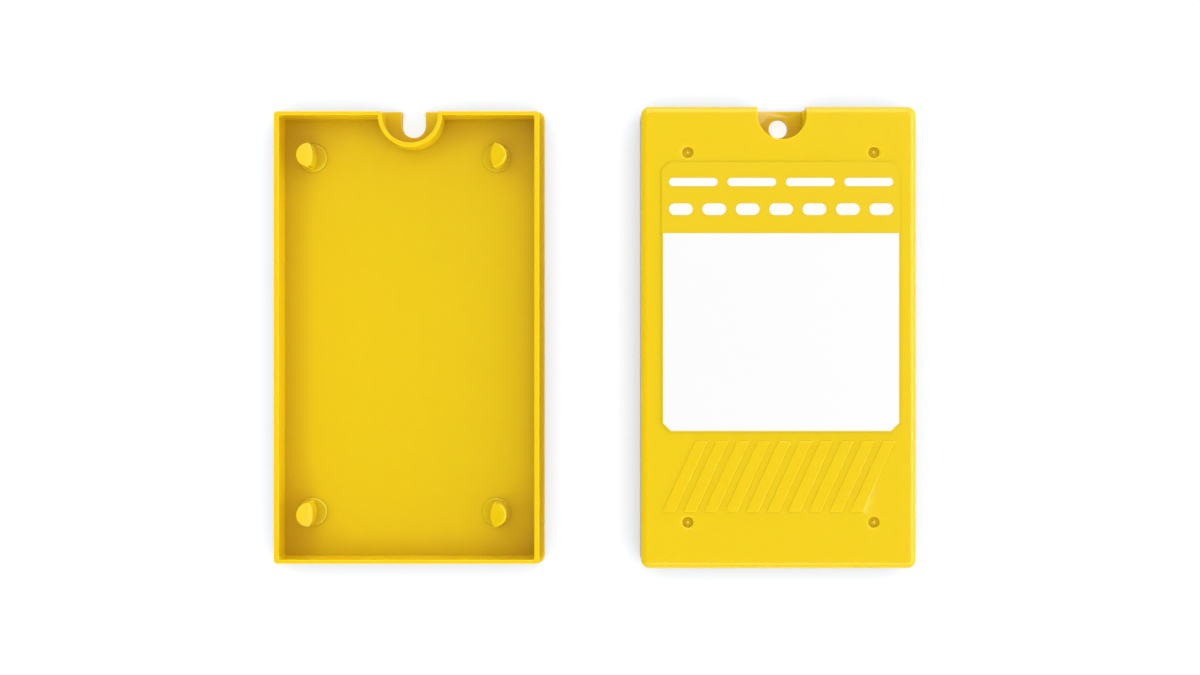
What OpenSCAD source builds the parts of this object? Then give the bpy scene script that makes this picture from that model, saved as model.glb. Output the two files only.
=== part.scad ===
// Break glass key box: a back tray and a front cover, lying side by side.
// The tray lies inside up on the left, the cover lies face up on the right.
// Origin: under the middle of the pair, on the surface. +X right, +Y to the hanging end.

/* [Cover] */
// Width of the cover
cover_w = 56.8; // [50:0.1:80]
// Length of the cover, hanging end to foot
cover_l = 95.4; // [85:0.1:130]
// Thickness of the cover's side walls
cover_wall = 0.9; // [0.7:0.05:1.2]
// Thickness of the cover's face
face_t = 1.5; // [1.4:0.05:3]
// Radius along the edges of the face
edge_r = 1.3; // [0.5:0.05:1.4]
// Radius of the cover's corners
corner_r = 1.75; // [1.6:0.05:4]

/* [Tray] */
// Thickness of the tray's base
base_t = 2; // [1.5:0.1:4]
// Height of the tray's walls above its base
wall_h = 8; // [6:0.1:20]
// Thickness of the tray's long walls
tray_side_wall = 1; // [0.7:0.05:1.5]
// Thickness of the tray's short walls
tray_end_wall = 0.8; // [0.7:0.05:1.5]
// How far the base's edge lies inside the cover's outline
base_inset = 0.2; // [0:0.05:0.5]

/* [Fit] */
// Gap between the tray's walls and the cover's walls
fit_gap = 0.15; // [0.1:0.01:0.3]
// Gap between the tray's rim and the inside of the face
rim_gap = 0.2; // [0.1:0.05:0.5]
// Gap between a peg and its socket, on the radius
socket_gap = 0.05; // [0.02:0.01:0.1]
// Gap between a spigot and its hole, on the radius
spigot_gap = 0.02; // [0.01:0.01:0.05]

/* [Hanging notch] */
// Half the width of the notch in the cover
notch_r = 5.05; // [4.5:0.05:7]
// Depth of the notch in the cover, from its edge
notch_depth = 6.8; // [6.5:0.05:9]
// Thickness of the cover's wall round the notch
notch_wall = 0.6; // [0.5:0.05:0.9]
// Thickness of the tray's wall round the notch
tray_notch_wall = 0.85; // [0.6:0.05:1.2]
// How far the notch lies to the right of the middle
notch_shift = 0.7; // [-1:0.1:1]
// Thickness of the cover's plate at the bottom of the notch
plate_t = 1; // [0.8:0.1:2]
// Radius of the hanging hole
hole_r = 1.95; // [1.5:0.05:2.4]
// Distance of the hanging hole's centre from the cover's edge
hole_edge = 3.7; // [3.2:0.05:4.2]
// Half the width of the slot in the tray's base
slot_r = 2.5; // [2.4:0.05:3]

/* [Pegs] */
// Radius of a peg's round foot
foot_r = 2.95; // [2.7:0.05:3.4]
// Thickness of a peg's foot
foot_h = 0.45; // [0.3:0.05:1]
// Radius of a peg's post
post_r = 2.6; // [2:0.05:2.7]
// Distance of the post's flatter side from its axis
post_flat = 0.85; // [0.5:0.05:1.5]
// Radius of the post's flatter side
post_side_r = 5; // [3:0.5:20]
// Height of the tapered tip
tip_h = 1.6; // [1:0.1:2.5]
// How much the tip's radius shrinks
tip_taper = 0.15; // [0.05:0.05:0.8]
// Slope of the tip's top, down towards the flatter side
tip_slope = 14; // [5:1:20]
// Gap between the tip and the inside of the face
tip_gap = 0.85; // [0.5:0.05:1.5]
// Distance of the pegs' axes from the tray's long walls
peg_side = 7.1; // [6.5:0.1:10]
// Distance of the pegs' axes from the tray's short walls
peg_end = 8.6; // [6.5:0.1:12]
// How far the set of pegs lies to the left of the middle
peg_left = 1.2; // [0:0.1:1.5]
// How far the set of pegs lies towards the hanging end
peg_up = 0.55; // [0:0.05:1]
// Radius of the spigot under a peg's foot
spigot_r = 1.5; // [1:0.1:2]
// Gap between a spigot's end and the bottom of its hole
spigot_end_gap = 0.1; // [0.05:0.05:0.2]
// Thickness of base left under a spigot's hole
spigot_floor = 0.8; // [0.6:0.1:1.2]
// Thickness of a socket's wall
socket_wall = 0.8; // [0.6:0.05:1.2]
// Gap between a socket's end and a peg's foot
socket_seat = 0.3; // [0.2:0.05:2]

/* [Dimples] */
// Radius of a dimple's floor
dimple_r = 1.1; // [0.8:0.05:1.5]
// Width of the sloping ring round a dimple
dimple_ring = 0.25; // [0.1:0.05:0.6]
// Depth of a dimple
dimple_depth = 0.8; // [0.2:0.05:0.9]
// Distance of the dimples from the cover's long edges
dimple_side = 9.2; // [7:0.1:12]
// Distance of the dimples from the cover's short edges
dimple_end = 9.55; // [9:0.05:10]

/* [Label] */
// Thickness of the label sheet
label_t = 0.15; // [0.1:0.01:0.3]
// Width of the bare face beside the label
label_side = 3.75; // [3:0.05:6]
// Distance of the label from the cover's hanging end
label_top = 11.45; // [11.4:0.05:14]
// Distance of the label from the cover's foot
label_foot = 28.1; // [27.5:0.05:32]
// Cut on the label's corners
label_cut = 1.8; // [1:0.1:3]
// How far the label and the dimples lie to the right of the middle
face_shift = 0.4; // [0:0.05:0.6]
// Height of the header above the white panel
header_h = 14.75; // [13:0.05:18]
// Width of the label's edge beside the white panel
panel_edge = 0.35; // [0.2:0.05:0.8]
// Thickness of the white print
print_t = 0.08; // [0.05:0.01:0.12]
// Height of the upper row of marks
upper_mark_h = 1.7; // [1:0.1:2.5]
// Height of the lower row of marks
lower_mark_h = 2.4; // [1:0.1:3]
// Distance of the upper row's middle from the label's top
upper_row = 4.2; // [3:0.1:5]
// Distance of the lower row's middle from the label's top
lower_row = 9.8; // [8:0.1:11]
// Width of the bare header beside the marks
mark_edge = 1.2; // [0.5:0.1:4]
// Gap between neighbouring marks
mark_gap = 2; // [1:0.1:3]
// Number of marks in the upper row
upper_marks = 4; // [3:1:8]
// Number of marks in the lower row
lower_marks = 7; // [3:1:12]

/* [Ribs] */
// Height of the moulded ribs above the face
rib_t = 0.2; // [0.1:0.05:0.4]
// Length of the ribbed area along the box
rib_area = 14.6; // [10:0.1:15]
// Distance of the ribbed area from the cover's foot
rib_foot = 11.7; // [11.3:0.1:12]
// Width of the bare face beside the ribs
rib_side = 3.4; // [3:0.1:6]
// Width of one rib
rib_w = 2.6; // [1:0.1:3]
// Distance from one rib to the next
rib_pitch = 4.3; // [4:0.1:6]
// Lean of the ribs
rib_lean = 25; // [0:1:30]

/* [Layout] */
// Gap between the tray and the cover as they lie
layout_gap = 20.2; // [15:0.1:40]

/* [Hidden] */
$fn = 96;
eps = 0.05;
past = 1;
yellow = "#F8D323";
white = "#FDFDFD";

// Outlines that both halves share
base_w = cover_w - 2 * base_inset;
base_l = cover_l - 2 * base_inset;
cover_in_w = cover_w - 2 * cover_wall;
cover_in_l = cover_l - 2 * cover_wall;
tray_wall_w = cover_in_w - 2 * fit_gap;
tray_wall_l = cover_in_l - 2 * fit_gap;
tray_in_w = tray_wall_w - 2 * tray_side_wall;
tray_in_l = tray_wall_l - 2 * tray_end_wall;
cover_in_r = corner_r - cover_wall;
tray_wall_r = cover_in_r - fit_gap;
tray_in_r = 0.3;

// Heights, each from the piece's own underside
tray_h = base_t + wall_h;
cover_in_h = wall_h + rim_gap;
cover_h = cover_in_h + face_t;

// Where the two halves lie
pair_w = base_w + layout_gap + cover_w;
tray_x = (base_w - pair_w) / 2;
cover_x = (pair_w - cover_w) / 2;

// Hanging notch, hole and slot
notch_y = cover_l / 2 - notch_depth + notch_r;
notch_end = cover_l / 2 + past;
tray_notch_r = notch_r + notch_wall + fit_gap;
hole_y = cover_l / 2 - hole_edge;
slot_y = hole_y - hole_r + slot_r;

// Pegs and sockets
peg_dx = tray_in_w / 2 - peg_side;
peg_dy = tray_in_l / 2 - peg_end;
post_h = cover_in_h - foot_h - tip_gap;
socket_len = cover_in_h - foot_h - socket_seat;
spigot_hole_h = base_t - spigot_floor;
spigot_h = spigot_hole_h - spigot_end_gap;

// Label and its print
label_w = cover_w - 2 * label_side;
label_l = cover_l - label_top - label_foot;
label_y = (label_foot - label_top) / 2;
label_head = cover_l / 2 - label_top;
panel_w = label_w - 2 * panel_edge;
panel_l = label_l - header_h - panel_edge;
panel_y = label_head - header_h - panel_l / 2;
panel_cut = label_cut - panel_edge / 2;
marks_w = panel_w - 2 * mark_edge;

// Flat outline of a rectangle with round corners
module round_rect(w, l, r) {
    square([w - 2 * r, l], center = true);
    square([w, l - 2 * r], center = true);
    for (x = [-1, 1], y = [-1, 1]) {
        translate([x * (w / 2 - r), y * (l / 2 - r)]) circle(r);
    }
}

// Flat outline of a U that is open past the hanging end
module notch_outline(r, end_y) {
    translate([notch_shift, notch_y]) circle(r);
    translate([notch_shift - r, notch_y]) square([2 * r, end_y - notch_y]);
}

// Section of what a rounded edge takes away, for an edge at x = 0 and z = 0
module edge_section(r) {
    difference() {
        translate([-r, -r]) square(r + eps);
        translate([-r, -r]) circle(r);
    }
}

// What the rounded edge along one straight side takes away
module straight_edge(length, r) {
    rotate([90, 0, 0]) linear_extrude(length, center = true) edge_section(r);
}

// What the rounded edge round one corner takes away
module corner_edge(r) {
    rotate_extrude(angle = 90) translate([corner_r, 0]) edge_section(r);
}

// All that the rounded edge of the cover's face takes away
module face_edges() {
    dx = cover_w / 2 - corner_r;
    dy = cover_l / 2 - corner_r;
    translate([0, 0, cover_h]) {
        translate([cover_w / 2, 0, 0]) straight_edge(2 * dy, edge_r);
        translate([-cover_w / 2, 0, 0]) rotate(180) straight_edge(2 * dy, edge_r);
        translate([0, cover_l / 2, 0]) rotate(90) straight_edge(2 * dx, edge_r);
        translate([0, -cover_l / 2, 0]) rotate(-90) straight_edge(2 * dx, edge_r);
        translate([dx, dy, 0]) corner_edge(edge_r);
        translate([-dx, dy, 0]) rotate(90) corner_edge(edge_r);
        translate([-dx, -dy, 0]) rotate(180) corner_edge(edge_r);
        translate([dx, -dy, 0]) rotate(270) corner_edge(edge_r);
    }
}

// Puts its children at a peg's axis; x and y say which corner
module at_peg(x, y) {
    translate([x * peg_dx - peg_left, y * peg_dy + peg_up, 0]) children();
}

// Puts its children at all four pegs' axes
module at_pegs() {
    for (x = [-1, 1], y = [-1, 1]) at_peg(x, y) children();
}

module back_tray() {
    color(yellow) translate([tray_x, 0, 0]) difference() {
        union() {
            linear_extrude(base_t) round_rect(base_w, base_l, corner_r - base_inset);
            linear_extrude(tray_h) difference() {
                round_rect(tray_wall_w, tray_wall_l, tray_wall_r);
                round_rect(tray_in_w, tray_in_l, tray_in_r);
            }
            linear_extrude(tray_h) intersection() {
                notch_outline(tray_notch_r + tray_notch_wall, notch_end);
                round_rect(tray_wall_w, tray_wall_l, tray_wall_r);
            }
        }
        translate([0, 0, base_t]) linear_extrude(tray_h) notch_outline(tray_notch_r, notch_end);
        translate([notch_shift, slot_y, -eps]) cylinder(h = base_t + 2 * eps, r = slot_r);
        translate([notch_shift - slot_r, slot_y, -eps])
            cube([2 * slot_r, notch_end - slot_y, base_t + 2 * eps]);
        at_pegs() translate([0, 0, spigot_floor])
            cylinder(h = spigot_hole_h + eps, r = spigot_r + spigot_gap);
    }
}

// One peg, with its flatter side towards +X
module peg_shape() {
    top = foot_h + post_h;
    cylinder(h = foot_h, r = foot_r);
    translate([0, 0, -spigot_h]) cylinder(h = spigot_h + foot_h, r = spigot_r);
    difference() {
        intersection() {
            union() {
                cylinder(h = top - tip_h, r = post_r);
                translate([0, 0, top - tip_h]) cylinder(h = tip_h, r1 = post_r, r2 = post_r - tip_taper);
            }
            translate([post_flat - post_side_r, 0, 0]) cylinder(h = top + eps, r = post_side_r);
        }
        translate([-post_r + tip_taper, -post_r - 1, top]) rotate([0, tip_slope, 0])
            cube([3 * post_r, 2 * post_r + 2, top]);
    }
}

// A peg in its corner of the tray, with its flatter side towards the middle
module peg(x, y) {
    color(yellow) translate([tray_x, 0, base_t]) at_peg(x, y) rotate(x < 0 ? 0 : 180) peg_shape();
}

module peg_top_left() peg(-1, 1);
module peg_top_right() peg(1, 1);
module peg_foot_left() peg(-1, -1);
module peg_foot_right() peg(1, -1);

// What one dimple takes out of the face, with the pip in its middle left standing
module dimple_cut() {
    pip_r = 0.35;
    difference() {
        union() {
            translate([0, 0, -dimple_depth]) cylinder(h = dimple_depth + eps, r = dimple_r);
            translate([0, 0, -dimple_ring])
                cylinder(h = dimple_ring + eps, r1 = dimple_r, r2 = dimple_r + dimple_ring + eps);
        }
        translate([0, 0, -dimple_depth - eps]) cylinder(h = dimple_depth / 2 + eps, r = pip_r);
    }
}

// The leaning ribs on the lower part of the face
module ribs() {
    area_w = cover_w - 2 * rib_side;
    lean_w = rib_area * tan(rib_lean);
    count = floor((area_w - lean_w - rib_w) / rib_pitch) + 1;
    used_w = (count - 1) * rib_pitch + rib_w + lean_w;
    for (i = [0:count - 1]) {
        translate([i * rib_pitch - used_w / 2, rib_foot - cover_l / 2, cover_h - eps])
            linear_extrude(rib_t + eps)
                polygon([[0, 0], [rib_w, 0], [rib_w + lean_w, rib_area], [lean_w, rib_area]]);
    }
}

module front_cover() {
    color(yellow) translate([cover_x, 0, 0]) difference() {
        union() {
            difference() {
                linear_extrude(cover_h) round_rect(cover_w, cover_l, corner_r);
                translate([0, 0, -eps])
                    linear_extrude(cover_in_h + eps) round_rect(cover_in_w, cover_in_l, cover_in_r);
                face_edges();
            }
            linear_extrude(cover_in_h + eps) intersection() {
                notch_outline(notch_r + notch_wall, notch_end);
                round_rect(cover_w, cover_l, corner_r);
            }
            at_pegs() translate([0, 0, cover_in_h - socket_len])
                cylinder(h = socket_len + eps, r = post_r + socket_gap + socket_wall);
            ribs();
        }
        translate([0, 0, plate_t]) linear_extrude(cover_h) notch_outline(notch_r, notch_end);
        translate([notch_shift, hole_y, -eps]) cylinder(h = plate_t + 2 * eps, r = hole_r);
        at_pegs() translate([0, 0, cover_in_h - socket_len - eps])
            cylinder(h = socket_len + eps, r = post_r + socket_gap);
        for (x = [-1, 1], y = [-1, 1]) translate([face_shift, 0, cover_h])
            translate([x * (cover_w / 2 - dimple_side), y * (cover_l / 2 - dimple_end), 0]) dimple_cut();
    }
}

// Flat outline of a rectangle with its corners cut; cut_top says if the upper two are cut
module cut_rect(w, l, cut, cut_top) {
    top = cut_top ? cut : 0;
    polygon([
        [-w / 2 + cut, -l / 2], [w / 2 - cut, -l / 2], [w / 2, -l / 2 + cut],
        [w / 2, l / 2 - top], [w / 2 - top, l / 2],
        [-w / 2 + top, l / 2], [-w / 2, l / 2 - top], [-w / 2, -l / 2 + cut]
    ]);
}

module label_sheet() {
    color(yellow) translate([cover_x + face_shift, label_y, cover_h])
        linear_extrude(label_t) cut_rect(label_w, label_l, label_cut, true);
}

module write_on_panel() {
    color(white) translate([cover_x + face_shift, panel_y, cover_h + label_t])
        linear_extrude(print_t) cut_rect(panel_w, panel_l, panel_cut, false);
}

// One round-ended mark whose left end is at x = 0
module mark(w, h) {
    r = h / 2;
    translate([r, 0]) circle(r);
    translate([w - r, 0]) circle(r);
    translate([r, -r]) square([w - 2 * r, h]);
}

// A row of equal marks across the header
module mark_row(count, h) {
    w = (marks_w - (count - 1) * mark_gap) / count;
    for (i = [0:count - 1]) translate([i * (w + mark_gap), 0]) mark(w, h);
}

module header_marks() {
    color(white) translate([cover_x + face_shift - marks_w / 2, label_head, cover_h + label_t])
        linear_extrude(print_t) {
            translate([0, -upper_row]) mark_row(upper_marks, upper_mark_h);
            translate([0, -lower_row]) mark_row(lower_marks, lower_mark_h);
        }
}

back_tray();
peg_top_left();
peg_top_right();
peg_foot_left();
peg_foot_right();
front_cover();
label_sheet();
write_on_panel();
header_marks();
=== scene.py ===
"""Break glass key box: a back tray lying inside up and a front cover lying face up beside it."""

import math

import bmesh
import bpy
from bpy.props import FloatProperty, FloatVectorProperty, IntProperty, PointerProperty
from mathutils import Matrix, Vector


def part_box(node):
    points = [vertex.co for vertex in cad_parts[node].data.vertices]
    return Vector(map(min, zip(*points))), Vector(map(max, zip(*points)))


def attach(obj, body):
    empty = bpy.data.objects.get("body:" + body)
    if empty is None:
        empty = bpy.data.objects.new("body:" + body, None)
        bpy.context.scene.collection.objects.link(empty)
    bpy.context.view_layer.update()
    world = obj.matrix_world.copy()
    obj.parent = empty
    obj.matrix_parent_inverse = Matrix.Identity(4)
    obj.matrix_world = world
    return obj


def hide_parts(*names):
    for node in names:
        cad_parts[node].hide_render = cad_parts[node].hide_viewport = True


bl_info = {
    "name": "Break glass key box",
    "version": (1, 0, 0),
    "blender": (4, 5, 0),
    "location": "View3D > Sidebar > Key Box",
    "description": "Builds the key box's mouldings, label and studio round the packed model",
    "category": "Object",
}

MM = 0.001
PHOTO_WIDTH_PX = 1200
WHITE = (1, 1, 1, 1)

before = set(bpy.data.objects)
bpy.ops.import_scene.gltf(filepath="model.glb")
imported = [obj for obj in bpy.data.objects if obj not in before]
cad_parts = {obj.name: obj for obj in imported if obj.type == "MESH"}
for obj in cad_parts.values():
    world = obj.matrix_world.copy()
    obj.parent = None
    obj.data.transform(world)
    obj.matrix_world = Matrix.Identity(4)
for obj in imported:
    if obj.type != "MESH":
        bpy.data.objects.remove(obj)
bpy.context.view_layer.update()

PEG_NODES = ("peg_top_left", "peg_top_right", "peg_foot_left", "peg_foot_right")

# Points nearer than this are one point, faces this level are one face, and edges this sharp are
# softened or kept sharp.
WELD_DISTANCE = 0.0001 * MM
FLAT_WITHIN = math.radians(0.5)
SHARP_FROM = math.radians(35)
BELOW_EVERYTHING = -1

# Waves per metre of the skin's flow marks and of its uneven polish.
FLOW_WAVES = (90, 30, 90)
POLISH_WAVES = 160

# Painted corner shade: the dark tone that the plastic's colour is multiplied by in a shut-in
# corner, how far round a place counts, and how much the direction leans. Openness maps to 0 at the
# first value of its span and to 1 at the second.
PAINTED_SHADE_TONE = (0.759, 0.668, 1, 1)
PAINTED_SHADE_REACH = 8.5 * MM
PAINTED_SHADE_LEAN = -0.28
PAINTED_SHADE_OPENNESS = (0.82, 0.25)
PAINTED_SHADE_EASING = 0.9
LOOKING_UP = (0.8, 0.95)

# The floor: its size and place, what the camera sees of it, what it throws back, and its shadow.
FLOOR_HALF_WIDTH = 1.5
FLOOR_DROP = 0.02 * MM
FLOOR_SHEET_SHARE = 0.72
FLOOR_TINT = (1, 1.1, 1.35)
FLOOR_BOUNCE = (0.5, 0.5, 0.5, 1)
SHADOW_REACH = 8 * MM
SHADOW_LEAN = 0.02
SHADOW_OPENNESS = (0.4, 0.88)
SHADOW_SHADES = (0.6, 1)

# Centre, radius and brightness of the painted light on the floor under the cover's hole and the
# tray's slot, which lifts the painted shadow there.
HOLE_PAINTED_LIGHT = ((0.039, 0.044, 0), 2.1 * MM, 1.03)
SLOT_PAINTED_LIGHT = ((-0.0378, 0.0445, 0), 3 * MM, 0.94)
SPOT_FADE = 1.2

# Name, bearing and elevation in degrees, width and height in metres, and share of the brightness.
SOFTBOXES = (
    ("right_softbox", 0, 48, 1.4, 1.1, 1.25),
    ("far_softbox", 90, 47, 0.8, 1.4, 0.85),
    ("near_softbox", -90, 56, 0.8, 0.9, 0.75),
)
SOFTBOX_DISTANCE = 1.2

# The surround's light, as shares of its strength. Angles are in degrees, and a span of X is a
# span of the direction's part along X, from -1 on the left to 1 on the right.
OVERHEAD_EDGE = 23
OVERHEAD_FADE = 10
OVERHEAD_SHARE = 0.85
LEFT_SPAN_X = (-0.9, -0.3)
LEFT_SHARE = 0.82
RING_SHARE = 1.25
RING_HEIGHTS = (10, 20)
RING_SPAN_X = (-0.5, 0.05)
RING_AT_SIDES = 0.35
RING_MORE_AT_ENDS = 1.8

# The surround in reflections: brightest towards one side, and dimmer overhead.
MIRRORED_SIDE = (0.8, 0.6, 0)
MIRRORED_SPAN = (-0.4, 1)
MIRRORED_OVERHEAD_EDGE = 20


def linear_rgb(red, green, blue):
    """A colour given as 0 to 255 screen values, as the linear values that shaders use."""
    shares = [value / 255 for value in (red, green, blue)]
    return tuple(
        share / 12.92 if share <= 0.04045 else ((share + 0.055) / 1.055) ** 2.4 for share in shares
    )


class KeyBoxSizes(bpy.types.PropertyGroup):
    """Small sizes of the mouldings and of the label's edges."""

    tray_edge: FloatProperty(
        name="Tray edge",
        description="Radius of the softened edges of the tray",
        default=0.08 * MM,
        min=0.02 * MM,
        max=0.3 * MM,
        subtype="DISTANCE",
        unit="LENGTH",
    )
    cover_edge: FloatProperty(
        name="Cover edge",
        description="Radius of the softened edges of the cover, apart from its large rounded ones",
        default=0.08 * MM,
        min=0.02 * MM,
        max=0.15 * MM,
        subtype="DISTANCE",
        unit="LENGTH",
    )
    peg_edge: FloatProperty(
        name="Peg edge",
        description="Radius of the rounded edges of the pegs and of their feet",
        default=0.3 * MM,
        min=0.02 * MM,
        max=0.32 * MM,
        subtype="DISTANCE",
        unit="LENGTH",
    )
    peg_rise: FloatProperty(
        name="Peg rise",
        description="Height of a peg above the middle of its foot's thickness",
        default=7.1 * MM,
        min=6 * MM,
        max=9 * MM,
        subtype="DISTANCE",
        unit="LENGTH",
    )
    film_edge: FloatProperty(
        name="Film edge",
        description="Radius of the edges of the label and of its print",
        default=0.03 * MM,
        min=0.005 * MM,
        max=0.04 * MM,
        subtype="DISTANCE",
        unit="LENGTH",
    )
    edge_steps: IntProperty(
        name="Edge steps",
        description="Number of faces across a softened edge",
        default=3,
        min=1,
        max=6,
    )


class KeyBoxColours(bpy.types.PropertyGroup):
    """Colours and gloss of the plastic, the label and its print."""

    plastic: FloatVectorProperty(
        name="Plastic",
        description="Colour of the moulded yellow plastic",
        default=linear_rgb(232, 202, 17),
        min=0,
        max=1,
        subtype="COLOR",
    )
    film: FloatVectorProperty(
        name="Film",
        description="Colour of the label's yellow film",
        default=linear_rgb(227, 194, 12),
        min=0,
        max=1,
        subtype="COLOR",
    )
    panel: FloatVectorProperty(
        name="Panel",
        description="Colour of the write-on panel",
        default=linear_rgb(231, 231, 231),
        min=0,
        max=1,
        subtype="COLOR",
    )
    marks: FloatVectorProperty(
        name="Print",
        description="Colour of the white print",
        default=linear_rgb(231, 231, 227),
        min=0,
        max=1,
        subtype="COLOR",
    )
    plastic_roughness: FloatProperty(
        name="Plastic roughness",
        description="Roughness of the moulded plastic",
        default=0.12,
        min=0,
        max=1,
        subtype="FACTOR",
    )


class KeyBoxStudio(bpy.types.PropertyGroup):
    """Camera and light."""

    camera_height: FloatProperty(
        name="Camera height",
        description="Height of the camera above the surface",
        default=370 * MM,
        min=200 * MM,
        max=2000 * MM,
        subtype="DISTANCE",
        unit="LENGTH",
    )
    camera_right: FloatProperty(
        name="Camera offset",
        description="How far the camera stands to the right of the pair's middle",
        default=1.4 * MM,
        min=-50 * MM,
        max=50 * MM,
        subtype="DISTANCE",
        unit="LENGTH",
    )
    rim_scale: FloatProperty(
        name="Scale at the tray's rim",
        description="Pixels per metre in the photo's frame at the height of the tray's rim",
        default=4853,
        min=1000,
        max=20000,
    )
    box_brightness: FloatProperty(
        name="Softbox brightness",
        description="Brightness of the softboxes' faces, where a white surface has 1",
        default=3.0,
        min=0,
        max=20,
    )
    sky_strength: FloatProperty(
        name="Surround strength",
        description="Brightness of the white surround that lights the object",
        default=1.185,
        min=0,
        max=3,
    )
    ceiling_strength: FloatProperty(
        name="Ceiling share",
        description="Brightness overhead in reflections, as a share of that all round",
        default=0.8,
        min=0,
        max=1,
        subtype="FACTOR",
    )
    floor_gain: FloatProperty(
        name="Floor whiteness",
        description="Colour value of the lit part of the floor, as the camera sees it",
        default=1.05,
        min=0.5,
        max=2,
    )


def add(tree, kind, label, **settings):
    """Adds one node to a tree and sets its plain properties."""
    made = tree.nodes.new(kind)
    made.label = label
    for name, value in settings.items():
        setattr(made, name, value)
    return made


def feed(tree, socket, value):
    """Links another node's output to a socket, or sets the socket to a plain value."""
    if isinstance(value, bpy.types.NodeSocket):
        tree.links.new(value, socket)
    else:
        socket.default_value = value


def feed_all(tree, node, values):
    """Feeds the sockets of a node by their names."""
    for name, value in values.items():
        feed(tree, node.inputs[name], value)


def maths(tree, label, operation, *values):
    """The result of a sum on numbers or on other nodes' outputs."""
    made = add(tree, "ShaderNodeMath", label, operation=operation)
    for socket, value in zip(made.inputs, values):
        feed(tree, socket, value)
    return made.outputs[0]


def ranged(tree, label, value, span, results=(0, 1), **settings):
    """A value mapped from a span to two results, and held at them outside the span."""
    made = add(tree, "ShaderNodeMapRange", label, **settings)
    names = ("From Min", "From Max", "To Min", "To Max")
    feed_all(tree, made, {"Value": value, **dict(zip(names, (*span, *results)))})
    return made.outputs["Result"]


def noise(tree, label, place, scale, detail, distortion=0):
    """The brightness of a noise texture."""
    made = add(tree, "ShaderNodeTexNoise", label)
    settings = {"Vector": place, "Scale": scale, "Detail": detail, "Distortion": distortion}
    feed_all(tree, made, settings)
    return made.outputs["Fac"]


def mixed(tree, label, share, first, second):
    """Two shaders mixed, where share 1 is the second alone."""
    made = add(tree, "ShaderNodeMixShader", label)
    for socket, value in zip(made.inputs, (share, first, second)):
        feed(tree, socket, value)
    return made.outputs["Shader"]


def moulded_skin():
    """Node group of a moulded surface: slow flow marks in the colour, and a fine even grain."""
    name = "moulded_skin"
    if name in bpy.data.node_groups:
        return bpy.data.node_groups[name]
    group = bpy.data.node_groups.new(name, "ShaderNodeTree")
    inputs = {
        "Colour": ("NodeSocketColor", (0.8, 0.6, 0.1, 1)),
        "Flow": ("NodeSocketFloat", 0.02),
        "Roughness": ("NodeSocketFloat", 0.35),
        "Roughness spread": ("NodeSocketFloat", 0.06),
        "Grain scale": ("NodeSocketFloat", 4000),
    }
    outputs = {
        "Colour": "NodeSocketColor",
        "Roughness": "NodeSocketFloat",
        "Height": "NodeSocketFloat",
    }
    for label, (kind, default) in inputs.items():
        made = group.interface.new_socket(name=label, in_out="INPUT", socket_type=kind)
        made.default_value = default
    for label, kind in outputs.items():
        group.interface.new_socket(name=label, in_out="OUTPUT", socket_type=kind)
    given = add(group, "NodeGroupInput", "Given").outputs
    place = add(group, "ShaderNodeTexCoord", "Place").outputs["Object"]
    stretch = add(group, "ShaderNodeMapping", "Along the flow")
    feed_all(group, stretch, {"Vector": place, "Scale": FLOW_WAVES})
    flow = noise(group, "Flow marks", stretch.outputs["Vector"], 1, 3, distortion=0.6)
    grain = noise(group, "Grain", place, given["Grain scale"], 2)
    polish = noise(group, "Polish", place, POLISH_WAVES, 4)
    darkest = maths(group, "Darkest", "SUBTRACT", 1, given["Flow"])
    brightest = maths(group, "Brightest", "ADD", 1, given["Flow"])
    tint = add(group, "ShaderNodeHueSaturation", "Tinted colour")
    shade = ranged(group, "Flow to brightness", flow, (0, 1), (darkest, brightest))
    feed_all(group, tint, {"Color": given["Colour"], "Value": shade})
    shift = maths(group, "Around zero", "SUBTRACT", polish, 0.5)
    spread = maths(group, "Spread", "MULTIPLY", shift, given["Roughness spread"])
    rough = maths(group, "Roughness", "ADD", given["Roughness"], spread)
    out = add(group, "NodeGroupOutput", "Result")
    results = {"Colour": tint.outputs["Color"], "Roughness": rough, "Height": grain}
    feed_all(group, out, results)
    return group


def surface(name, colour, roughness, flow, spread, grain_scale, grain_height, ior):
    """A material of one plastic, film or print, with its grain from the shared group."""
    material = bpy.data.materials.new(name)
    material.use_nodes = True
    tree = material.node_tree
    tree.nodes.clear()
    skin = add(tree, "ShaderNodeGroup", "Skin", node_tree=moulded_skin())
    finish = {
        "Colour": (*colour, 1),
        "Flow": flow,
        "Roughness": roughness,
        "Roughness spread": spread,
        "Grain scale": grain_scale,
    }
    feed_all(tree, skin, finish)
    bump = add(tree, "ShaderNodeBump", "Grain height")
    grain = {"Strength": 1, "Distance": grain_height, "Height": skin.outputs["Height"]}
    feed_all(tree, bump, grain)
    shader = add(tree, "ShaderNodeBsdfPrincipled", "Surface")
    skinned = {
        "Base Color": skin.outputs["Colour"],
        "Roughness": skin.outputs["Roughness"],
        "Normal": bump.outputs["Normal"],
        "IOR": ior,
    }
    feed_all(tree, shader, skinned)
    result = add(tree, "ShaderNodeOutputMaterial", "Result")
    feed(tree, result.inputs["Surface"], shader.outputs["BSDF"])
    return material


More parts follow.
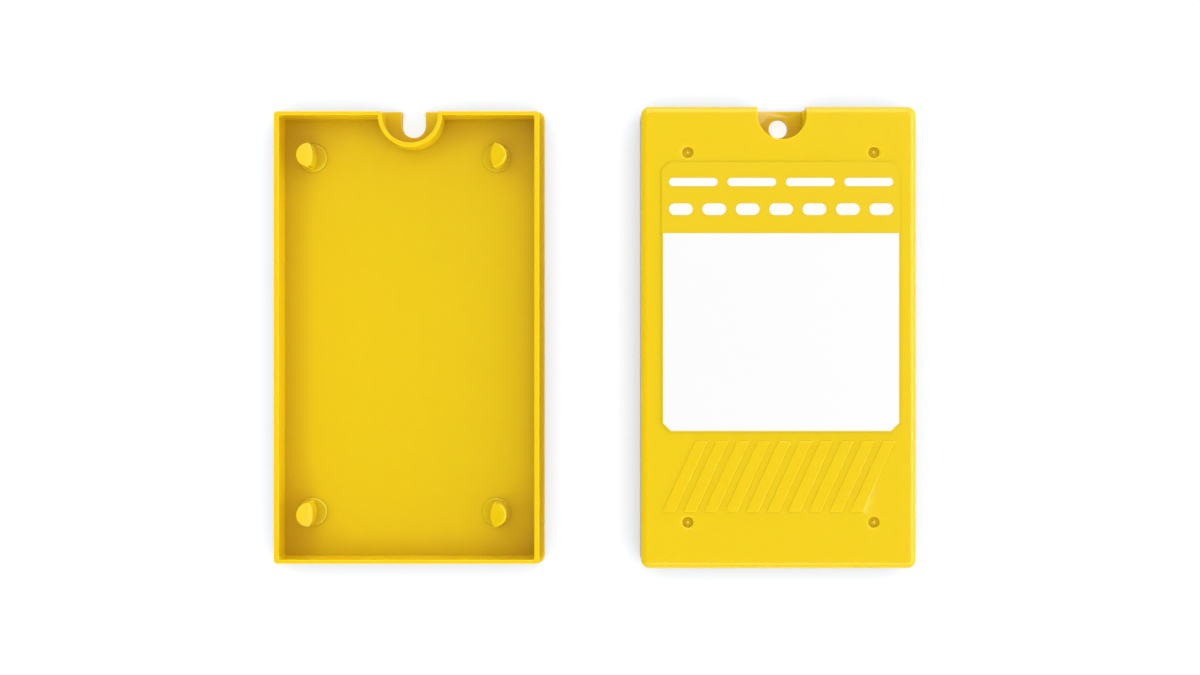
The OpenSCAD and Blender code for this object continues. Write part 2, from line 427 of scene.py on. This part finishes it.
def paint_corner_shade(tree, shader):
    """Paints shade into the base colour of faces that look up, darker in corners and near walls.

    The openness is taken round a direction that leans left, so the right wall counts for less.
    """
    tone = shader.inputs["Base Color"].links[0].from_socket
    leaning = add(tree, "ShaderNodeCombineXYZ", "Away from the right wall")
    feed_all(tree, leaning, {"X": PAINTED_SHADE_LEAN, "Z": 1})
    open_sky = add(tree, "ShaderNodeAmbientOcclusion", "Openness", samples=16)
    feed_all(tree, open_sky, {"Distance": PAINTED_SHADE_REACH, "Normal": leaning.outputs["Vector"]})
    shut_in = ranged(tree, "How shut in", open_sky.outputs["AO"], PAINTED_SHADE_OPENNESS)
    facing = add(tree, "ShaderNodeNewGeometry", "Facing")
    parts = add(tree, "ShaderNodeSeparateXYZ", "How far up it looks")
    feed(tree, parts.inputs[0], facing.outputs["Normal"])
    looks_up = ranged(tree, "Looks up", parts.outputs["Z"], LOOKING_UP)
    share = maths(tree, "Share of the painted shade", "MULTIPLY", shut_in, looks_up)
    eased = maths(tree, "Quicker at first", "POWER", share, PAINTED_SHADE_EASING)
    # Painted shade: the colour is multiplied towards a dark tone where the place is shut in and
    # looks up.
    deeper = add(tree, "ShaderNodeMixRGB", "Painted corner shade", blend_type="MULTIPLY")
    feed_all(tree, deeper, {"Fac": eased, "Color1": tone, "Color2": PAINTED_SHADE_TONE})
    feed(tree, shader.inputs["Base Color"], deeper.outputs["Color"])


def yellow_plastic(colours):
    """Bright yellow moulded plastic, between satin and gloss, that lets light into its walls."""
    name = "yellow_moulded_plastic"
    if name in bpy.data.materials:
        return bpy.data.materials[name]
    material = surface(
        name,
        colours.plastic,
        roughness=colours.plastic_roughness,
        flow=0.012,
        spread=0.05,
        grain_scale=2600,
        grain_height=0.0008 * MM,
        ior=1.42,
    )
    tree = material.node_tree
    shader = tree.nodes["Principled BSDF"]
    shader.inputs["Subsurface Weight"].default_value = 0.8
    shader.inputs["Subsurface Radius"].default_value = (1, 0.55, 0.1)
    shader.inputs["Subsurface Scale"].default_value = 1 * MM
    # Painted shade in corners and near walls darkens the plastic's colour on faces that look up.
    paint_corner_shade(tree, shader)
    return material


def yellow_film(colours):
    """The label's printed film, a little flatter than the plastic."""
    return surface(
        "yellow_label_film",
        colours.film,
        roughness=0.16,
        flow=0.004,
        spread=0.04,
        grain_scale=5200,
        grain_height=0.001 * MM,
        ior=1.4,
    )


def write_on_white(colours):
    """The write-on panel: white, with a fine tooth that takes a pen."""
    return surface(
        "write_on_white",
        colours.panel,
        roughness=0.3,
        flow=0.003,
        spread=0.05,
        grain_scale=7500,
        grain_height=0.0015 * MM,
        ior=1.3,
    )


def white_ink(colours):
    """White print on the film."""
    return surface(
        "white_ink",
        colours.marks,
        roughness=0.35,
        flow=0.004,
        spread=0.05,
        grain_scale=6000,
        grain_height=0.0015 * MM,
        ior=1.35,
    )


def clean_mesh(node, name):
    """A copy of a CAD node's mesh with its seams closed and its flat faces in one piece."""
    work = bmesh.new()
    work.from_mesh(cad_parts[node].data)
    bmesh.ops.remove_doubles(work, verts=work.verts, dist=WELD_DISTANCE)
    bmesh.ops.dissolve_limit(
        work, angle_limit=FLAT_WITHIN, verts=work.verts, edges=work.edges
    )
    points = [tuple(vert.co) for vert in work.verts]
    faces = [[vert.index for vert in face.verts] for face in work.faces]
    work.free()
    mesh = bpy.data.meshes.new(name)
    mesh.from_pydata(points, [], faces)
    return mesh


def mark_edges(mesh, lowest):
    """Marks sharp outer edges above lowest to be softened, and the other sharp ones as sharp."""
    work = bmesh.new()
    work.from_mesh(mesh)
    weight = work.edges.layers.float.new("bevel_weight_edge")
    for face in work.faces:
        face.smooth = True
    for edge in work.edges:
        if edge.calc_face_angle(0) < SHARP_FROM:
            continue
        if edge.is_convex and min(vert.co.z for vert in edge.verts) > lowest:
            edge[weight] = 1
        else:
            edge.smooth = False
    work.to_mesh(mesh)
    work.free()


def soft_edged(node, name, radius, steps, lowest=BELOW_EVERYTHING, clamp=True):
    """A piece like a CAD node with its outer edges softened, which stands for that node."""
    mesh = clean_mesh(node, name)
    mark_edges(mesh, lowest)
    piece = bpy.data.objects.new(name, mesh)
    bpy.context.scene.collection.objects.link(piece)
    bevel = piece.modifiers.new("soft edges", "BEVEL")
    bevel.width = radius
    bevel.segments = steps
    bevel.limit_method = "WEIGHT"
    bevel.miter_outer = "MITER_ARC"
    bevel.use_clamp_overlap = clamp
    level = piece.modifiers.new("level faces", "WEIGHTED_NORMAL")
    level.weight = 100
    level.keep_sharp = True
    bpy.context.view_layer.update()
    shaped = piece.evaluated_get(bpy.context.evaluated_depsgraph_get())
    piece.data = bpy.data.meshes.new_from_object(shaped)
    piece.data.name = name
    piece.modifiers.clear()
    bpy.data.meshes.remove(mesh)
    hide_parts(node)
    return piece


class KEYBOX_OT_tray(bpy.types.Operator):
    """Builds the back tray with its soft rims and hanging notch."""

    bl_idname = "keybox.tray"
    bl_label = "Build back tray"

    def execute(self, context):
        sizes = context.scene.keybox_sizes
        tray = soft_edged("back_tray", "tray_moulding", sizes.tray_edge, sizes.edge_steps)
        tray.data.materials.append(yellow_plastic(context.scene.keybox_colours))
        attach(tray, "tray")
        return {"FINISHED"}


class KEYBOX_OT_pegs(bpy.types.Operator):
    """Builds the four D-shaped press pegs on their round feet, with their upper edges rounded."""

    bl_idname = "keybox.pegs"
    bl_label = "Build press pegs"

    def execute(self, context):
        sizes = context.scene.keybox_sizes
        for node in PEG_NODES:
            name = node.replace("peg", "press_peg")
            steps = sizes.edge_steps + 1
            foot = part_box(node)[1].z - sizes.peg_rise
            peg = soft_edged(node, name, sizes.peg_edge, steps, lowest=foot, clamp=False)
            peg.data.materials.append(yellow_plastic(context.scene.keybox_colours))
            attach(peg, "tray")
        return {"FINISHED"}


class KEYBOX_OT_cover(bpy.types.Operator):
    """Builds the front cover with its notch, dimples and ribs."""

    bl_idname = "keybox.cover"
    bl_label = "Build front cover"

    def execute(self, context):
        sizes = context.scene.keybox_sizes
        cover = soft_edged("front_cover", "cover_moulding", sizes.cover_edge, sizes.edge_steps)
        cover.data.materials.append(yellow_plastic(context.scene.keybox_colours))
        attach(cover, "cover")
        return {"FINISHED"}


class KEYBOX_OT_label(bpy.types.Operator):
    """Builds the label film, its write-on panel and its white print."""

    bl_idname = "keybox.label"
    bl_label = "Build label"

    def execute(self, context):
        sizes = context.scene.keybox_sizes
        colours = context.scene.keybox_colours
        layers = (
            ("label_sheet", "label_film", "label_film", yellow_film),
            ("write_on_panel", "label_panel", "white_panel", write_on_white),
            ("header_marks", "label_marks", "white_print", white_ink),
        )
        for node, name, slot, finish in layers:
            piece = soft_edged(node, name, sizes.film_edge, sizes.edge_steps)
            piece.data.materials.append(finish(colours))
            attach(piece, "cover")
        return {"FINISHED"}


def painted_light_spot(tree, centre, radius, brightness):
    """Painted light on the floor: a brightness within a radius round a place, and 0 outside it."""
    place = add(tree, "ShaderNodeTexCoord", "Place").outputs["Object"]
    away = add(tree, "ShaderNodeVectorMath", "Distance from the spot", operation="DISTANCE")
    feed(tree, away.inputs[0], place)
    feed(tree, away.inputs[1], centre)
    fade = (radius, SPOT_FADE * radius)
    return ranged(tree, "Painted light spot", away.outputs["Value"], fade, (brightness, 0))


def floor_material(gain):
    """White floor: to the camera a white sheet with a soft shadow, and clear from below."""
    material = bpy.data.materials.new("white_floor")
    material.use_nodes = True
    tree = material.node_tree
    tree.nodes.clear()
    bounce = add(tree, "ShaderNodeBsdfDiffuse", "Lit floor")
    feed(tree, bounce.inputs["Color"], FLOOR_BOUNCE)
    bright = add(tree, "ShaderNodeBsdfDiffuse", "Lit floor to the camera")
    feed(tree, bright.inputs["Color"], (*(gain * share for share in FLOOR_TINT), 1))
    leaning = add(tree, "ShaderNodeCombineXYZ", "Towards the light")
    feed_all(tree, leaning, {"X": SHADOW_LEAN, "Z": 1})
    contact = add(tree, "ShaderNodeAmbientOcclusion", "Contact shadow", samples=8)
    feed_all(tree, contact, {"Distance": SHADOW_REACH, "Normal": leaning.outputs["Vector"]})
    openness = contact.outputs["AO"]
    shadow = ranged(tree, "Depth of the shadow", openness, SHADOW_OPENNESS, SHADOW_SHADES)
    # Painted light under the cover's hole and the tray's slot, brighter than the painted shadow
    # there.
    hole = painted_light_spot(tree, *HOLE_PAINTED_LIGHT)
    slot = painted_light_spot(tree, *SLOT_PAINTED_LIGHT)
    under_notches = maths(tree, "Under the notches", "MAXIMUM", hole, slot)
    sheet = add(tree, "ShaderNodeEmission", "White sheet")
    level = maths(tree, "Brighter of the two", "MAXIMUM", shadow, under_notches)
    feed(tree, sheet.inputs["Strength"], level)
    top = (FLOOR_SHEET_SHARE, bright.outputs["BSDF"], sheet.outputs["Emission"])
    layers = mixed(tree, "Lit floor and white sheet", *top)
    camera_ray = add(tree, "ShaderNodeLightPath", "Kind of ray").outputs["Is Camera Ray"]
    seen = mixed(tree, "Seen or lighting", camera_ray, bounce.outputs["BSDF"], layers)
    clear = add(tree, "ShaderNodeBsdfTransparent", "Nothing").outputs["BSDF"]
    below = add(tree, "ShaderNodeNewGeometry", "Side").outputs["Backfacing"]
    result = add(tree, "ShaderNodeOutputMaterial", "Result")
    upper = mixed(tree, "Upper side only", below, seen, clear)
    feed(tree, result.inputs["Surface"], upper)
    return material


def ceiling_dimmer(tree, height, edge, share):
    """Factor that is 1 all round and falls to share overhead, where edge is in degrees."""
    fade = [math.cos(math.radians(edge + turn)) for turn in (OVERHEAD_FADE, -OVERHEAD_FADE)]
    smooth = {"interpolation_type": "SMOOTHSTEP"}
    return ranged(tree, "Dim ceiling", height, fade, (1, share), **smooth)


def surround_light(tree, parts, strength):
    """Brightness of the surround as a light, with a ring of low lamps open on the left."""
    fade = [math.sin(math.radians(angle)) for angle in RING_HEIGHTS]
    low = ranged(tree, "Low lamps", parts["Z"], fade, (RING_SHARE, 0))
    right = ranged(tree, "Not on the left", parts["X"], RING_SPAN_X)
    lamps = maths(tree, "Low lamps round the right", "MULTIPLY", low, right)
    lengthways = maths(tree, "Far or near", "ABSOLUTE", parts["Y"])
    more = (lengthways, RING_MORE_AT_ENDS, RING_AT_SIDES)
    ends = maths(tree, "Brighter far and near", "MULTIPLY_ADD", *more)
    ring = maths(tree, "Ring of low lamps", "MULTIPLY", lamps, ends)
    ceiling = ceiling_dimmer(tree, parts["Z"], OVERHEAD_EDGE, OVERHEAD_SHARE)
    left = ranged(tree, "Dimmer on the left", parts["X"], LEFT_SPAN_X, (LEFT_SHARE, 1))
    even = maths(tree, "Surround", "MULTIPLY", ceiling, left)
    level = maths(tree, "Surround and lamps", "ADD", even, ring)
    return maths(tree, "Brightness", "MULTIPLY", level, strength)


def surround_reflected(tree, place, parts, ceiling):
    """Brightness of the surround in reflections, dimmer to the left, near and overhead."""
    side = add(tree, "ShaderNodeVectorMath", "Side", operation="DOT_PRODUCT")
    feed(tree, side.inputs[0], place)
    feed(tree, side.inputs[1], MIRRORED_SIDE)
    fall = ranged(tree, "Bright side in reflections", side.outputs["Value"], MIRRORED_SPAN)
    dimmer = ceiling_dimmer(tree, parts["Z"], MIRRORED_OVERHEAD_EDGE, ceiling)
    return maths(tree, "Brightness in reflections", "MULTIPLY", fall, dimmer)


def white_background(tree, label, strength):
    """A white background shader of a world."""
    made = add(tree, "ShaderNodeBackground", label)
    feed_all(tree, made, {"Color": WHITE, "Strength": strength})
    return made.outputs["Background"]


def white_surround(strength, ceiling):
    """A surround that lights the object, is dimmer in reflections, and is white to the camera."""
    world = bpy.data.worlds.new("white_surround")
    bpy.context.scene.world = world
    world.use_nodes = True
    tree = world.node_tree
    tree.nodes.clear()
    place = add(tree, "ShaderNodeTexCoord", "Direction").outputs["Generated"]
    split = add(tree, "ShaderNodeSeparateXYZ", "Height of the direction")
    feed(tree, split.inputs[0], place)
    parts = split.outputs
    light = white_background(tree, "Light", surround_light(tree, parts, strength))
    reflected = surround_reflected(tree, place, parts, ceiling)
    mirrored = white_background(tree, "Reflections", reflected)
    rays = add(tree, "ShaderNodeLightPath", "Kind of ray").outputs
    unseen = mixed(tree, "Lighting or reflections", rays["Is Glossy Ray"], light, mirrored)
    plain = white_background(tree, "Seen", 1)
    either = mixed(tree, "Seen or not", rays["Is Camera Ray"], unseen, plain)
    result = add(tree, "ShaderNodeOutputWorld", "Result")
    feed(tree, result.inputs["Surface"], either)


def softbox(name, bearing, elevation, width, height, brightness):
    """A softbox for gloss alone that faces the object. Angles are in degrees, and +X is 0."""
    lamp = bpy.data.lights.new(name, "AREA")
    lamp.shape = "RECTANGLE"
    lamp.size = width
    lamp.size_y = height
    lamp.energy = brightness * math.pi * width * height
    light = bpy.data.objects.new(name, lamp)
    turn = math.radians(bearing)
    rise = math.radians(elevation)
    flat = SOFTBOX_DISTANCE * math.cos(rise)
    up = SOFTBOX_DISTANCE * math.sin(rise)
    light.location = (flat * math.cos(turn), flat * math.sin(turn), up)
    light.rotation_euler = (-light.location).to_track_quat("-Z", "Y").to_euler()
    light.visible_camera = False
    light.visible_diffuse = False
    bpy.context.scene.collection.objects.link(light)


def add_floor(gain):
    """A wide white floor just below the object."""
    half = FLOOR_HALF_WIDTH
    corners = [(-half, -half), (half, -half), (half, half), (-half, half)]
    mesh = bpy.data.meshes.new("floor")
    mesh.from_pydata([(*corner, -FLOOR_DROP) for corner in corners], [], [(0, 1, 2, 3)])
    floor = bpy.data.objects.new("floor", mesh)
    bpy.context.scene.collection.objects.link(floor)
    mesh.materials.append(floor_material(gain))


def add_camera(studio):
    """A camera that looks straight down, with the photo's scale at the tray's rim."""
    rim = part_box("back_tray")[1].z
    camera = bpy.data.cameras.new("camera")
    camera.sensor_width = 36
    view_width = PHOTO_WIDTH_PX / studio.rim_scale
    camera.lens = camera.sensor_width * (studio.camera_height - rim) / view_width
    camera.clip_start = 10 * MM
    camera.clip_end = 10
    body = bpy.data.objects.new("camera", camera)
    body.location = (studio.camera_right, 0, studio.camera_height)
    bpy.context.scene.collection.objects.link(body)
    bpy.context.scene.camera = body


class KEYBOX_OT_studio(bpy.types.Operator):
    """Adds the white floor, the surround, the softboxes and the camera."""

    bl_idname = "keybox.studio"
    bl_label = "Set up studio"

    def execute(self, context):
        studio = context.scene.keybox_studio
        add_floor(studio.floor_gain)
        white_surround(studio.sky_strength, studio.ceiling_strength)
        for *place_and_size, share in SOFTBOXES:
            softbox(*place_and_size, share * studio.box_brightness)
        add_camera(studio)
        context.scene.view_settings.view_transform = "Standard"
        return {"FINISHED"}


class KEYBOX_PT_panel(bpy.types.Panel):
    """Lists the steps that build the key box."""

    bl_idname = "KEYBOX_PT_panel"
    bl_label = "Key Box"
    bl_space_type = "VIEW_3D"
    bl_region_type = "UI"
    bl_category = "Key Box"

    def draw(self, context):
        for operator in OPERATORS:
            self.layout.operator(operator.bl_idname)


GROUPS = (
    (KeyBoxSizes, "keybox_sizes"),
    (KeyBoxColours, "keybox_colours"),
    (KeyBoxStudio, "keybox_studio"),
)
OPERATORS = (
    KEYBOX_OT_studio,
    KEYBOX_OT_tray,
    KEYBOX_OT_pegs,
    KEYBOX_OT_cover,
    KEYBOX_OT_label,
)


def register():
    """Registers the property groups, the operators and the panel."""
    for group, name in GROUPS:
        bpy.utils.register_class(group)
        setattr(bpy.types.Scene, name, PointerProperty(type=group))
    for operator in OPERATORS:
        bpy.utils.register_class(operator)
    bpy.utils.register_class(KEYBOX_PT_panel)


def unregister():
    """Takes back all that register has added."""
    bpy.utils.unregister_class(KEYBOX_PT_panel)
    for operator in reversed(OPERATORS):
        bpy.utils.unregister_class(operator)
    for group, name in reversed(GROUPS):
        delattr(bpy.types.Scene, name)
        bpy.utils.unregister_class(group)


def main():
    register()
    bpy.ops.keybox.studio()
    bpy.ops.keybox.tray()
    bpy.ops.keybox.pegs()
    bpy.ops.keybox.cover()
    bpy.ops.keybox.label()


if __name__ == "__main__":
    main()
